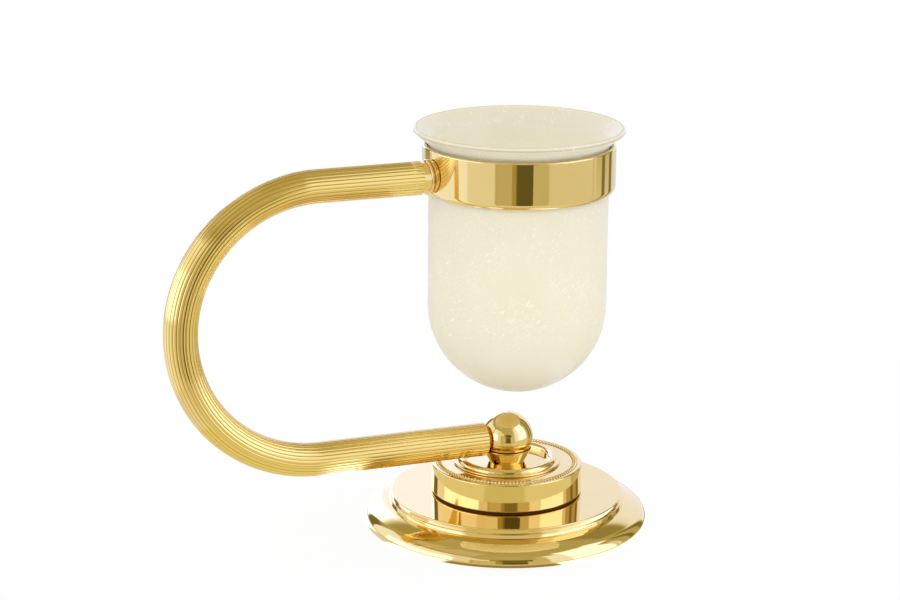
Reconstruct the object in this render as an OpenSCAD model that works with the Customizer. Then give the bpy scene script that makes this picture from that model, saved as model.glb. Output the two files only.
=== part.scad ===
// Free-standing tumbler holder with its glass. A round-bottomed tumbler hangs by its flared lip in a
// polished ring, on a reeded C-shaped arm that springs from a ball on a stepped, weighted base.
// Millimetres. The origin is the centre of the foot, Z is up and the arm bows out towards -X.

/* [Tumbler] */
// Outer radius of the glass body
glass_r = 34; // [26:0.5:42]
// Thickness of the glass
glass_wall = 1.8; // [1.2:0.1:3]
// Length of the straight side, from the round bottom up to the flare
glass_side = 61; // [45:0.5:75]
// Radius of the bend between the side and the flare
flare_bend = 3; // [2:0.1:5]
// Angle by which the flare leans out from the vertical, in degrees
flare_angle = 50; // [35:1:60]
// Outer radius of the lip
lip_r = 40; // [38:0.5:50]

/* [Ring] */
// Height of the polished band
band_h = 18.3; // [14:0.1:26]
// Thickness of the band
band_wall = 1.2; // [1:0.1:2.5]
// Radius by which the lower edge of the band turns in
band_turn = 3; // [2.6:0.1:4]
// Radius of the upper edge of the band
band_edge = 0.6; // [0.3:0.1:0.7]
// Distance of the lower edge of the band below the axis of the arm
band_drop = 7.7; // [5:0.1:9]
// Thickness of the clear sleeve between the band and the glass
sleeve_t = 0.8; // [0.6:0.1:2]
// Depth of the top of the sleeve below the top of the band
sleeve_depth = 0.65; // [0.5:0.05:2]
// Distance of the axis of the ring from the axis of the base, away from the arm
ring_offset = 3.4; // [0:0.2:8]

/* [Arm] */
// Radius of the tube over its reeds
tube_r = 6.4; // [5.5:0.1:8]
// Radius of the bore of the tube
bore_r = 5.2; // [4.2:0.1:5.3]
// Number of reeds round the tube
reed_n = 26; // [20:2:32]
// Radius of a reed, as a multiple of half the distance between reeds
reed_swell = 2.2; // [1.2:0.1:3]
// Radius of the bend along the middle of the tube
bend_r = 52.6; // [48:0.1:60]
// Length of the arm from the axis of the base to the start of the bend
leg = 76.3; // [60:0.1:90]
// Length of the smooth neck between the reeds and the band
neck_len = 3.3; // [2.4:0.1:6]
// Radius of the smooth neck
neck_r = 5.9; // [5.5:0.1:6.3]
// Radius of the bead that meets the band
bead_collar_r = 6.7; // [6.2:0.1:8]
// Thickness of the bead that meets the band
bead_collar_t = 1.1; // [0.8:0.1:1.8]
// Gap between the lower end of the tube and the lip of the post
tube_gap = 0.2; // [0.1:0.05:0.5]
// Length of the plugs inside the ends of the tube
plug_len = 14; // [10:0.5:20]

/* [Ball and post] */
// Radius of the ball
ball_r = 10; // [9:0.1:12]
// Distance of the flat under the ball from its centre
ball_flat = 4; // [3.6:0.1:5]
// Depth of the flat that the arm's plug bears on
face_depth = 0.8; // [0.4:0.1:1.2]
// Height of the post
post_h = 5.8; // [5:0.1:8]
// Radius of the foot of the post
post_foot_r = 6.7; // [6:0.1:8]
// Radius of the lip that the ball sits on
seat_lip_r = 9.4; // [9.35:0.05:11]
// Thickness of that lip
seat_lip_t = 0.7; // [0.4:0.1:1.5]

/* [Drum] */
// Radius of the drum
drum_r = 29.2; // [28.4:0.1:34]
// Height of the drum
drum_h = 11.6; // [9:0.1:18]
// Thickness of the drum's wall and top
drum_wall = 2.4; // [1.8:0.1:3]
// Radius of the drum's edges
drum_edge = 0.5; // [0.2:0.05:0.8]
// Height of the shadow gap under the drum
shadow_h = 0.7; // [0.3:0.1:1.2]
// Depth of the shadow gap
shadow_depth = 1.6; // [0.8:0.1:2]
// Inner radius of the moulding round the post
moulding_in = 16.2; // [14:0.1:17]
// Outer radius of the moulding round the post
moulding_out = 20.8; // [20.2:0.1:23]
// Height of the moulding's lower fillet
fillet_h = 0.9; // [0.6:0.1:1.4]
// Radius of the moulding's upper roll
roll_r = 1.5; // [1:0.1:1.9]
// Radius of the circle that the beads stand on
bead_ring_r = 26.4; // [24.6:0.1:26.8]
// Radius of a bead
bead_r = 0.95; // [0.6:0.05:1]
// Number of beads
bead_n = 120; // [80:4:140]
// Depth of the groove that holds the beads
bead_groove = 1.2; // [0.8:0.05:1.5]

/* [Base] */
// Widest radius of the flange
flange_r = 55; // [52:0.5:65]
// Radius of the flange's rounded rim
flange_roll = 2.8; // [2.2:0.1:3.4]
// Radius at the top of the flange's slope
slope_r = 46; // [45.6:0.1:48]
// Height of the top of the flange
flange_top = 8.2; // [7.6:0.1:12]
// Thickness of the flange's top
flange_roof = 1.5; // [1.2:0.1:2]
// Radius of the hollow in the flange
hollow_r = 43; // [38:0.5:45]
// Radius of the step plate
plate_r = 44.6; // [42:0.1:45]
// Height of each of the plate's two tiers
tier_h = 1.9; // [1.4:0.1:3]
// Distance by which the lower tier stands out
tier_step = 0.7; // [0.3:0.05:0.9]
// Radius of the plate's edges
plate_edge = 0.35; // [0.1:0.05:0.6]
// Radius of the foot pad
pad_r = 49; // [46:0.5:51]
// Thickness of the foot pad
pad_t = 1.6; // [1.2:0.1:2.4]
// Distance by which the pad stands out below the flange
pad_proud = 0.5; // [0.3:0.05:0.9]

/* [Fasteners] */
// Radius of the tie bolt
bolt_r = 3; // [2.5:0.1:3.5]
// Radius of the bolt's head
bolt_head_r = 5; // [4.5:0.1:6]
// Height of the bolt's low head
bolt_head_h = 2.6; // [2:0.1:2.8]
// Width across the flats of the socket in the bolt's head
socket_af = 4; // [3:0.5:5]
// Depth of that socket
socket_depth = 1.5; // [1:0.1:1.8]
// Length of thread in the ball
bolt_grip = 5.5; // [4:0.1:7]
// Outer radius of the flat washer
washer_r = 7.5; // [7:0.1:8.5]
// Thickness of the flat washer
washer_t = 0.8; // [0.6:0.1:1.2]
// Outer radius of the spring washer
spring_r = 5.6; // [5:0.1:6.5]
// Thickness of the spring washer
spring_t = 1; // [0.8:0.1:1.2]
// Width of the slit in the spring washer
spring_slit = 0.8; // [0.5:0.1:1.2]
// Radius of the hole in the ballast round the bolt's head
ballast_hole_r = 9; // [8.8:0.1:12]
// Radius of the stud between the ball and the arm
stud_r = 2.5; // [2:0.1:3]
// Distance of the stud's tip from the centre of the ball
stud_tip = 4.2; // [3.8:0.1:6]
// Length of the stud in the arm's plug
stud_grip = 11; // [7:0.5:13]
// Radius of the ring's screw
screw_r = 1.5; // [1.2:0.1:2]
// Radius of the head of the ring's screw
screw_head_r = 2.6; // [2.4:0.1:3.2]
// Length of the ring's screw from its head to its tip
screw_len = 11; // [8:0.5:13]

/* [Fits] */
// Gap between fixed pieces that seat in each other
fit = 0.05; // [0.03:0.01:0.1]
// Gap between a bolt or screw and the pieces that it passes through
pass_gap = 0.2; // [0.1:0.05:0.4]
// Gap round the weight in the hollow flange
loose_gap = 0.3; // [0.2:0.05:0.6]
// Gap between the glass and the sleeve, so that the glass lifts out
lift_gap = 0.4; // [0.35:0.05:0.8]
// Gap between the flare and its seat on the sleeve
seat_gap = 0.3; // [0.2:0.05:0.35]

/* [Hidden] */
$fn = 96;
// Length that makes a cut pass clean through
through = 1;

// Heights of the base, from the ground up
foot_z = pad_proud;
roof_z = flange_top - flange_roof;
plate_top = flange_top + 2 * tier_h;
drum_top = plate_top + drum_h;
seat_z = drum_top + post_h;
ball_z = seat_z + ball_flat;

// Bolt stack under the roof of the flange
washer_z = roof_z - washer_t;
spring_z = washer_z - spring_t;
bolt_hole_r = bolt_r + pass_gap;
bolt_tip_z = seat_z + bolt_grip;

// Flange: the straight slope runs as a tangent from its top edge to the rounded rim
rim_mid = [flange_r - flange_roll, foot_z + flange_roll];
slope_top = [slope_r, flange_top];
slope_run = slope_top - rim_mid;
tangent_turn = atan2(slope_run[1], slope_run[0]) - acos(flange_roll / norm(slope_run));
slope_foot = rim_mid + flange_roll * [cos(tangent_turn), sin(tangent_turn)];

// Arm: its plug bears on the ball's flat, and the tube stops just short of the post's lip
reed_share = reed_swell * sin(180 / reed_n);
reed_mid_r = tube_r / (1 + reed_share);
reed_r = tube_r - reed_mid_r;
arm_top_z = ball_z + 2 * bend_r;
lower_end = seat_lip_r + tube_gap;
ball_face = ball_r - face_depth;
plug_x = ball_face + fit;

// Ring and sleeve, about the axis of the ring
sleeve_in = glass_r + lift_gap;
sleeve_out = sleeve_in + sleeve_t;
band_in = sleeve_out + fit;
band_r = band_in + band_wall;
band_low = arm_top_z - band_drop;
band_top = band_low + band_h;
sleeve_low = band_low + band_turn + fit;
sleeve_top = band_top - sleeve_depth;
// Where the arm's axis meets the outside of the band, and the end of the tube before it
band_x = ring_offset - band_r;
upper_end = band_x - neck_len;
// The screw's head is let in just below the inside of the band
screw_x = ring_offset - band_in - fit;
screw_head_h = screw_head_r - screw_r;

// Tumbler: its flare hangs a seat gap above the inner edge of the sleeve's top
bend_mid_r = glass_r + flare_bend;
seat_rise = sqrt(pow(flare_bend - seat_gap, 2) - pow(flare_bend - lift_gap, 2));
flare_z = sleeve_top - seat_rise;
sphere_z = flare_z - glass_side;
flare_dir = [sin(flare_angle), cos(flare_angle)];
flare_out = [cos(flare_angle), -sin(flare_angle)];
lip_roll = glass_wall / 2;
mid_start = [bend_mid_r, flare_z] - (flare_bend + lip_roll) * flare_out;
flare_len = (lip_r - lip_roll - mid_start[0]) / flare_dir[0];
lip_mid = mid_start + flare_len * flare_dir;

brass = "gold";
steel = "silver";

// Section of a disc with rounded edges, between two heights
module disc_section(r, low, high, edge) {
    translate([0, low]) square([r - edge, high - low]);
    translate([0, low + edge]) square([r, high - low - 2 * edge]);
    for (z = [low + edge, high - edge]) translate([r - edge, z]) circle(r = edge);
}

// Section of a plain rectangle between two radii and two heights
module ring_section(inner, outer, low, high) {
    translate([inner, low]) square([outer - inner, high - low]);
}

// A round bar along X, between two places on the line of the arm at the given height
module bar(from_x, to_x, r, z) {
    translate([from_x, 0, z]) rotate([0, 90, 0]) cylinder(r = r, h = to_x - from_x);
}

// A round ring that stands on a height
module flat_ring(inner, outer, low, high) {
    rotate_extrude() ring_section(inner, outer, low, high);
}

module foot_pad() {
    color("dimgray") cylinder(r = pad_r, h = pad_t);
}

module flange_section() {
    difference() {
        union() {
            polygon([[0, foot_z], [rim_mid[0], foot_z], rim_mid, slope_foot, slope_top, [0, flange_top]]);
            translate(rim_mid) circle(r = flange_roll);
        }
        ring_section(0, pad_r + loose_gap, foot_z - through, pad_t);
        ring_section(0, hollow_r, foot_z, roof_z);
        ring_section(0, bolt_hole_r, foot_z, flange_top + through);
    }
}

module base_flange() {
    color(brass) rotate_extrude() flange_section();
}

module ballast() {
    color("dimgray") flat_ring(ballast_hole_r, hollow_r - loose_gap, pad_t, roof_z - fit);
}

module step_plate() {
    color(brass) rotate_extrude() difference() {
        union() {
            disc_section(plate_r + tier_step, flange_top, flange_top + tier_h, plate_edge);
            disc_section(plate_r, flange_top + tier_h - plate_edge, plate_top, plate_edge);
        }
        ring_section(0, bolt_hole_r, flange_top - through, plate_top + through);
    }
}

module drum() {
    boss_r = washer_r;
    groove_half = bead_r + fit;
    color(brass) rotate_extrude() difference() {
        union() {
            ring_section(0, drum_r - shadow_depth, plate_top, plate_top + shadow_h);
            disc_section(drum_r, plate_top + shadow_h, drum_top, drum_edge);
        }
        ring_section(bead_ring_r - groove_half, bead_ring_r + groove_half, drum_top - bead_groove,
            drum_top + through);
        ring_section(boss_r, drum_r - shadow_depth - drum_wall, plate_top - through, drum_top - drum_wall);
        ring_section(0, bolt_hole_r, plate_top - through, drum_top + through);
    }
}

// Bead trim: a ring whose section swells to a full bead and shrinks to a valley, over and over
bead_steps = 4;
bead_sides = 6;
bead_valley = 0.62;
trim_rings = bead_n * bead_steps;
trim_z = drum_top - bead_groove + fit + bead_r;
function bead_swell(i) = bead_r * (bead_valley + (1 - bead_valley) * sin(180 * (i % bead_steps) / bead_steps));
function trim_point(i, j) =
    let (turn = 360 * i / trim_rings, side = 360 * j / bead_sides - 90, swell = bead_swell(i))
    [
        (bead_ring_r + swell * cos(side)) * cos(turn),
        (bead_ring_r + swell * cos(side)) * sin(turn),
        trim_z + swell * sin(side)
    ];
function trim_index(i, j) = (i % trim_rings) * bead_sides + j % bead_sides;

module bead_trim() {
    points = [for (i = [0 : trim_rings - 1], j = [0 : bead_sides - 1]) trim_point(i, j)];
    faces = [
        for (i = [0 : trim_rings - 1], j = [0 : bead_sides - 1], half = [0, 1])
        half == 0
            ? [trim_index(i, j), trim_index(i, j + 1), trim_index(i + 1, j + 1)]
            : [trim_index(i, j), trim_index(i + 1, j + 1), trim_index(i + 1, j)]
    ];
    color(brass) polyhedron(points = points, faces = faces);
}

module dish_moulding() {
    fillet_round = fillet_h / 2;
    color(brass) rotate_extrude() {
        ring_section(moulding_in, moulding_out - fillet_round, drum_top, drum_top + fillet_h);
        translate([moulding_out - fillet_round, drum_top + fillet_round]) circle(r = fillet_round);
        intersection() {
            translate([moulding_in + roll_r, drum_top + fillet_h]) circle(r = roll_r);
            ring_section(moulding_in, moulding_out, drum_top + fillet_h / 2, drum_top + fillet_h + roll_r);
        }
    }
}

module post() {
    color(brass) rotate_extrude() polygon([
        [bolt_hole_r, drum_top],
        [post_foot_r, drum_top],
        [seat_lip_r, seat_z - seat_lip_t],
        [seat_lip_r, seat_z],
        [bolt_hole_r, seat_z]
    ]);
}

module ball() {
    color(brass) difference() {
        translate([0, 0, ball_z]) sphere(r = ball_r);
        translate([0, 0, seat_z - ball_r]) cylinder(r = ball_r, h = ball_r);
        translate([0, 0, seat_z - through]) cylinder(r = bolt_r + fit, h = bolt_grip + fit + through);
        bar(-ball_r - through, -ball_face, ball_r, ball_z);
        bar(-ball_r - through, -stud_tip + fit, stud_r + fit, ball_z);
    }
}

module tie_bolt() {
    color(steel) difference() {
        union() {
            translate([0, 0, spring_z - bolt_head_h]) cylinder(r = bolt_head_r, h = bolt_head_h);
            translate([0, 0, spring_z]) cylinder(r = bolt_r, h = bolt_tip_z - spring_z);
        }
        translate([0, 0, spring_z - bolt_head_h - through])
            cylinder(r = socket_af / 2 / cos(30), h = socket_depth + through, $fn = 6);
    }
}

module flat_washer() {
    color(steel) flat_ring(bolt_hole_r, washer_r, washer_z, roof_z);
}

module spring_washer() {
    color(steel) difference() {
        flat_ring(bolt_hole_r, spring_r, spring_z, washer_z);
        translate([0, -spring_slit / 2, spring_z - through])
            cube([spring_r + through, spring_slit, spring_t + 2 * through]);
    }
}

// Section of the reeded tube: a ring of rounded reeds on a plain bore
module reeded_section() {
    difference() {
        union() {
            circle(r = reed_mid_r);
            for (i = [0 : reed_n - 1])
                rotate(360 * i / reed_n) translate([reed_mid_r, 0]) circle(r = reed_r, $fn = 24);
        }
        circle(r = bore_r);
    }
}

// A straight reeded leg from the bend along X, so that its near end lies exactly on the bend's end
module reeded_leg(to_x, z) {
    translate([-leg, 0, z]) rotate([0, 90, 0]) linear_extrude(to_x + leg) reeded_section();
}

module arm() {
    color(brass) union() {
        reeded_leg(-lower_end, ball_z);
        translate([-leg, 0, ball_z + bend_r]) rotate([90, 0, 0]) rotate(90)
            rotate_extrude(angle = 180) translate([bend_r, 0]) reeded_section();
        reeded_leg(upper_end, arm_top_z);
    }
}

module arm_plug() {
    color(brass) difference() {
        bar(-plug_x - plug_len, -plug_x, bore_r - fit, ball_z);
        bar(-plug_x - stud_grip - fit, -plug_x + through, stud_r + fit, ball_z);
    }
}

module arm_stud() {
    color(steel) bar(-plug_x - stud_grip, -stud_tip, stud_r, ball_z);
}

module ring_ferrule() {
    color(brass) difference() {
        union() {
            bar(upper_end - plug_len, upper_end, bore_r - fit, arm_top_z);
            bar(upper_end, band_x, neck_r, arm_top_z);
            bar(band_x - bead_collar_t, band_x + bead_collar_t, bead_collar_r, arm_top_z);
        }
        translate([ring_offset, 0, band_low]) cylinder(r = band_r + fit, h = band_h);
        bar(screw_x - screw_len - fit, band_x + through, screw_r + fit, arm_top_z);
    }
}

module band_section() {
    difference() {
        union() {
            ring_section(0, band_r - band_turn, band_low, band_low + band_turn);
            translate([band_r - band_turn, band_low + band_turn]) circle(r = band_turn);
            ring_section(0, band_r, band_low + band_turn, band_top - band_edge);
            ring_section(0, band_r - band_edge, band_top - band_edge, band_top);
            translate([band_r - band_edge, band_top - band_edge]) circle(r = band_edge);
        }
        translate([band_r - band_turn, band_low + band_turn]) circle(r = band_turn - band_wall);
        ring_section(0, band_in, band_low + band_turn, band_top + through);
        ring_section(0, sleeve_in, band_low - through, band_top);
    }
}

module screw_body(gap) {
    bar(screw_x - screw_len - gap, screw_x, screw_r + gap, arm_top_z);
    translate([screw_x - screw_head_h, 0, arm_top_z]) rotate([0, 90, 0])
        cylinder(r1 = screw_r + gap, r2 = screw_head_r + gap, h = screw_head_h);
}

module ring_band() {
    color(brass) difference() {
        translate([ring_offset, 0, 0]) rotate_extrude() band_section();
        screw_body(fit);
        bar(screw_x - fit / 2, screw_x + band_wall, screw_head_r + fit, arm_top_z);
    }
}

module ring_screw() {
    color(steel) screw_body(0);
}

module clear_sleeve() {
    color("whitesmoke", 0.5) translate([ring_offset, 0, 0])
        flat_ring(sleeve_in, sleeve_out, sleeve_low, sleeve_top);
}

// Everything inside one skin of the tumbler: round bottom, straight side, bend and sloping flare. The
// skin lies a depth inside the outer face, and the flare runs on past the lip by an overrun.
module tumbler_solid(depth, overrun) {
    r = glass_r - depth;
    bend_end = [bend_mid_r, flare_z] - (flare_bend + depth) * flare_out;
    flare_end = bend_end + (flare_len + overrun) * flare_dir;
    intersection() {
        translate([0, sphere_z]) circle(r = r);
        ring_section(0, r, sphere_z - r, sphere_z + through);
    }
    ring_section(0, r, sphere_z, flare_z);
    difference() {
        polygon([
            [0, sphere_z],
            [r, sphere_z],
            [r, flare_z],
            [bend_mid_r, flare_z],
            bend_end,
            flare_end,
            [0, flare_end[1]]
        ]);
        translate([bend_mid_r, flare_z]) circle(r = flare_bend + depth);
    }
}

module tumbler_section() {
    difference() {
        tumbler_solid(0, 0);
        tumbler_solid(glass_wall, through);
    }
    translate(lip_mid) circle(r = lip_roll);
}

module tumbler() {
    color("ivory") translate([ring_offset, 0, 0]) rotate_extrude() tumbler_section();
}

foot_pad();
base_flange();
ballast();
step_plate();
drum();
bead_trim();
dish_moulding();
post();
ball();
tie_bolt();
flat_washer();
spring_washer();
arm();
arm_plug();
arm_stud();
ring_ferrule();
ring_band();
ring_screw();
clear_sleeve();
tumbler();
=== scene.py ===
import math

import bmesh
import bpy
from bpy.props import FloatProperty, FloatVectorProperty, IntProperty, PointerProperty
from mathutils import Matrix, Vector


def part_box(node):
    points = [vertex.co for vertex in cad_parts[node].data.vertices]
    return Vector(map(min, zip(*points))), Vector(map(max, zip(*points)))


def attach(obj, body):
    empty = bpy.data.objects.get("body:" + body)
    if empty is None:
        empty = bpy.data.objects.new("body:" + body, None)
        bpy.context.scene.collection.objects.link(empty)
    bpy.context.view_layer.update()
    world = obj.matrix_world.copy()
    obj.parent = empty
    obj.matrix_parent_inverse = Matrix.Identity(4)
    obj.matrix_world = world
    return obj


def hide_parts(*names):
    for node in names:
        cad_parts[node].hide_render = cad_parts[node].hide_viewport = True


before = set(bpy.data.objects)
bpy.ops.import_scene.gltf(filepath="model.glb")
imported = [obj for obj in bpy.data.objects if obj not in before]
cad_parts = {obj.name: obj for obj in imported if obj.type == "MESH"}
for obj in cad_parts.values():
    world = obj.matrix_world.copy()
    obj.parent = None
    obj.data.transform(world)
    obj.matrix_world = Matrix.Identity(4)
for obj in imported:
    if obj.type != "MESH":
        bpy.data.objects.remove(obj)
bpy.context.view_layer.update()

bl_info = {
    "name": "Tumbler and brass holder",
    "version": (1, 0, 0),
    "blender": (4, 5, 0),
    "location": "View3D > Sidebar > Tumbler",
    "description": "Dresses a free-standing brass tumbler holder and its crackle-glass tumbler",
    "category": "Add Mesh",
}

HOLDER = "holder"
GLASS = "tumbler"


def top(node):
    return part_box(node)[1].z


def bottom(node):
    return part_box(node)[0].z


def reach(node):
    """Half of the width of a round node, across the plane of the arm."""
    low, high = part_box(node)
    return (high.y - low.y) / 2


def linear(code):
    """An sRGB hex code as linear red, green and blue."""
    shares = [int(code[i:i + 2], 16) / 255 for i in (1, 3, 5)]
    return tuple(c / 12.92 if c <= 0.04045 else ((c + 0.055) / 1.055) ** 2.4 for c in shares)


def size_of(name, description, default):
    return FloatProperty(name=name, description=description, default=default, precision=5, min=0,
                         subtype="DISTANCE", unit="LENGTH")


def colour_of(name, description, code):
    return FloatVectorProperty(name=name, description=description, default=linear(code), size=3, min=0, max=1,
                               subtype="COLOR")


def share_of(name, description, default):
    return FloatProperty(name=name, description=description, default=default, min=0, soft_max=10)


def angle_of(name, description, degrees):
    return FloatProperty(name=name, description=description, default=math.radians(degrees), subtype="ANGLE",
                         unit="ROTATION")


class TumblerSizes(bpy.types.PropertyGroup):
    """Sizes of the glass."""
    axis_x: size_of("Axis", "Distance of the glass's axis from the base's axis", 0.0034)
    radius: size_of("Radius", "Outer radius of the straight side", 0.034)
    wall: size_of("Wall", "Thickness of the glass", 0.0018)
    bend: size_of("Bend", "Radius of the bend under the flare", 0.003)
    lip: size_of("Lip", "Outer radius of the lip", reach("tumbler"))
    lip_edge: size_of("Lip edge", "Radius of the edges of the ground lip", 0.00025)
    lip_land: size_of("Lip land", "Distance of the ground face from the end of the flare", 0.00033)
    line_top: size_of("Top line", "Depth of the fine line along the top of the lip", 0.0004)
    line_rim: size_of("Rim line", "Width of the fine line round the outside of the lip", 0.0005)
    line_core: size_of("Line core", "Width of both fine lines where they have their full tone", 0.0001)
    side: size_of("Side", "Length of the straight side", 0.061)
    flare: angle_of("Flare", "Angle of the flare from the vertical", 50)


class RingSizes(bpy.types.PropertyGroup):
    """Sizes of the ring, its sleeve and the neck that joins it to the arm."""
    radius: size_of("Radius", "Outer radius of the band", reach("ring_band"))
    wall: size_of("Wall", "Thickness of the band", 0.0012)
    turn: size_of("Turned edge", "Radius by which the lower edge turns in", 0.003)
    edge: size_of("Top edge", "Radius of the band's top edge", 0.0006)
    sleeve_wall: size_of("Sleeve", "Thickness of the clear sleeve", 0.0008)
    sleeve_edge: size_of("Sleeve edge", "Radius of the edges of the clear sleeve", 0.0003)
    sleeve_radius: size_of("Sleeve radius", "Outer radius of the clear sleeve", reach("clear_sleeve"))
    neck: size_of("Neck", "Radius of the smooth neck", 0.0059)
    collar: size_of("Collar", "Radius of the bead against the band", reach("ring_ferrule"))
    collar_wall: size_of("Collar thickness", "Thickness of the bead against the band", 0.0011)
    neck_length: size_of("Neck length", "Length of the smooth neck from the tube to the band", 0.0033)
    plug: size_of("Plug", "Radius of the plug in the tube", 0.00515)


class ArmSizes(bpy.types.PropertyGroup):
    """Sizes of the reeded arm."""
    radius: size_of("Radius", "Radius of the tube over its reeds", 0.0064)
    reeds: IntProperty(name="Reeds", description="Number of reeds round the tube", default=26, min=6)
    groove: size_of("Groove", "Depth of the grooves between the reeds", 0.00016)
    flatness: share_of("Flatness", "Power of the curve from the middle of a reed to its groove", 3.0)
    bend: size_of("Bend", "Radius of the bend along the middle of the tube", 0.0526)
    leg: size_of("Leg", "Length from the base's axis to the bend", 0.0763)


class PostSizes(bpy.types.PropertyGroup):
    """Sizes of the post and the ball."""
    ball: size_of("Ball", "Radius of the ball", 0.01)
    foot: size_of("Foot", "Radius of the foot of the post", 0.0067)
    lip: size_of("Lip", "Radius of the lip under the ball", reach("post"))
    lip_height: size_of("Lip height", "Height of the lip under the ball", 0.0007)
    lip_edge: size_of("Lip edge", "Radius of the edges of that lip", 0.0002)
    bore: size_of("Bore", "Radius of the hole for the bolt", 0.0032)


class DrumSizes(bpy.types.PropertyGroup):
    """Sizes of the drum, its moulding and its beads."""
    radius: size_of("Radius", "Radius of the drum", reach("drum"))
    edge: size_of("Edge", "Radius of the drum's edges", 0.0005)
    draft: size_of("Draft", "Distance by which the drum narrows to its top", 0.0003)
    shadow_height: size_of("Shadow gap", "Height of the gap under the drum", 0.0007)
    shadow_depth: size_of("Shadow depth", "Depth of the gap under the drum", 0.0016)
    well: size_of("Well", "Inner radius of the moulding round the post", 0.0162)
    moulding: size_of("Moulding", "Outer radius of the moulding", reach("dish_moulding"))
    fillet: size_of("Fillet", "Height of the moulding's lower fillet", 0.0009)
    roll: size_of("Roll", "Radius of the moulding's upper roll", 0.0015)
    bead_ring: size_of("Bead ring", "Radius of the circle of beads", 0.0264)
    bead: size_of("Bead", "Radius of a bead", 0.00095)
    beads: IntProperty(name="Beads", description="Number of beads", default=120, min=12)
    groove: size_of("Groove", "Depth of the groove that holds the beads", 0.0012)
    groove_edge: size_of("Groove edge", "Radius of the edges of that groove", 0.00012)
    valley: share_of("Valley", "Radius between two beads as a share of a bead's radius", 0.35)


class BaseSizes(bpy.types.PropertyGroup):
    """Sizes of the flange and the step plate."""
    flange: size_of("Flange", "Widest radius of the flange", reach("base_flange"))
    side: size_of("Side", "Radius of the flange's rounded side", 0.0055)
    foot_edge: size_of("Foot edge", "Radius of the flange's edge on the table", 0.0006)
    slope: size_of("Slope", "Radius at the top of the slope", 0.046)
    hollow: size_of("Hollow", "Radius of the hollow under the flange", 0.043)
    roof: size_of("Roof", "Thickness of the flange's top", 0.0015)
    recess: size_of("Recess", "Radius of the recess for the pad", 0.0493)
    plate: size_of("Plate", "Radius of the plate's upper tier", 0.0446)
    plate_step: size_of("Step", "Distance by which the lower tier stands out", 0.0007)
    plate_edge: size_of("Plate edge", "Radius of the plate's edges", 0.00035)


class Finishes(bpy.types.PropertyGroup):
    """Colours of the surfaces."""
    brass: colour_of("Brass", "Polished brass", "#F7DA8A")
    brass_deep: colour_of("Deep brass", "Brass where the polish is thinner", "#F2D07E")
    glass: colour_of("Glass", "Body of the crackle glass", "#EAE7DC")
    glass_warm: colour_of("Warm glass", "Cream tint in the crackle glass", "#E6E1D0")
    # Partly the flare's clearer glass, partly painted shade on the flare
    lip: colour_of("Lip", "Clearer glass of the flare", "#E4DECD")
    # Painted shade for the two edges of the ground lip
    painted_lip_shade: colour_of("Lip lines", "Edges of the ground lip", "#BCAD86")
    flake: colour_of("Flakes", "White flakes in the crackle glass", "#FFFDF4")
    reed: colour_of("Reeds", "Polished brass of the reeds", "#F9D672")
    # Painted shade and oxide: the dark brown that the arm's grooves are painted
    groove: colour_of("Grooves", "Brass in the grooves of the arm", "#7A4C12")
    # Painted shade: the dark brown of the rings in the gap under the drum and in the crease under the ball
    gap_shade: colour_of("Gap shade", "Brown brass in the gaps", "#5A3A10")
    silicone: colour_of("Silicone", "Clear silicone sleeve", "#F4F2EA")
    steel: colour_of("Steel", "Zinc-plated steel", "#B9BBBE")
    iron: colour_of("Iron", "Cast iron", "#3A3A3C")
    pad: colour_of("Pad", "Rubber pad", "#1E1E1E")


class Studio(bpy.types.PropertyGroup):
    """Camera and light."""
    turn: angle_of("Turn", "Angle of the camera round the base's axis", 22.55)
    rise: angle_of("Rise", "Angle of the camera above the floor", 20.6)
    distance: size_of("Distance", "Distance of the camera from the centre of the foot", 1.0125)
    yaw: angle_of("Yaw", "Sideways aim of the camera", -1.35)
    pitch: angle_of("Pitch", "Downward aim of the camera", 15.81)
    roll: angle_of("Roll", "Roll of the camera", 0.4)
    lens: share_of("Lens", "Focal length in millimetres", 103.5)
    fill: share_of("Fill", "Strength of the even light on matt surfaces", 0.97)
    box_power: share_of("Box power", "Power of each soft box in watts", 0.25)
    box_size: size_of("Box size", "Width of each soft box", 0.7)
    box_away: size_of("Box distance", "Distance of each soft box to the side and to the front", 0.7)
    box_height: size_of("Box height", "Height of the soft boxes", 0.22)
    glow: share_of("Glow", "Power of the lamp inside the glass in watts", 0.026)
    glow_size: size_of("Glow size", "Radius of the lamp inside the glass", 0.015)
    glow_height: size_of("Glow height", "Height of the lamp inside the glass", 0.1)
    glow_tint: colour_of("Glow tint", "Colour of the lamp inside the glass", "#FFFDF1")
    ceiling: share_of("Ceiling", "Level of the tent above its panels", 0.48)
    table: size_of("Table", "Radius of the table that the metal mirrors", 0.15)
    stand: size_of("Stand", "Distance of the dark camera stand that the metal mirrors", 0.4)
    shade_near: size_of("Shade", "Distance from the foot within which the floor shows most shadow", 0.05)
    shade_far: size_of("Shade end", "Distance from the foot past which the floor shows no shadow", 0.3)
    shade_white: share_of("Shade white", "Share of plain white in the floor's shadow", 0.92)


GROUPS = (TumblerSizes, RingSizes, ArmSizes, PostSizes, DrumSizes, BaseSizes, Finishes, Studio)


class HolderSettings(bpy.types.PropertyGroup):
    """All settings of the tumbler and its holder."""
    tumbler: PointerProperty(type=TumblerSizes)
    ring: PointerProperty(type=RingSizes)
    arm: PointerProperty(type=ArmSizes)
    post: PointerProperty(type=PostSizes)
    drum: PointerProperty(type=DrumSizes)
    base: PointerProperty(type=BaseSizes)
    finish: PointerProperty(type=Finishes)
    studio: PointerProperty(type=Studio)


def settings():
    return bpy.context.scene.tumbler_holder


def tube_end():
    """Where the reeded tube stops short of the band."""
    ring = settings().ring
    return settings().tumbler.axis_x - ring.radius - ring.neck_length


# Materials

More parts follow.
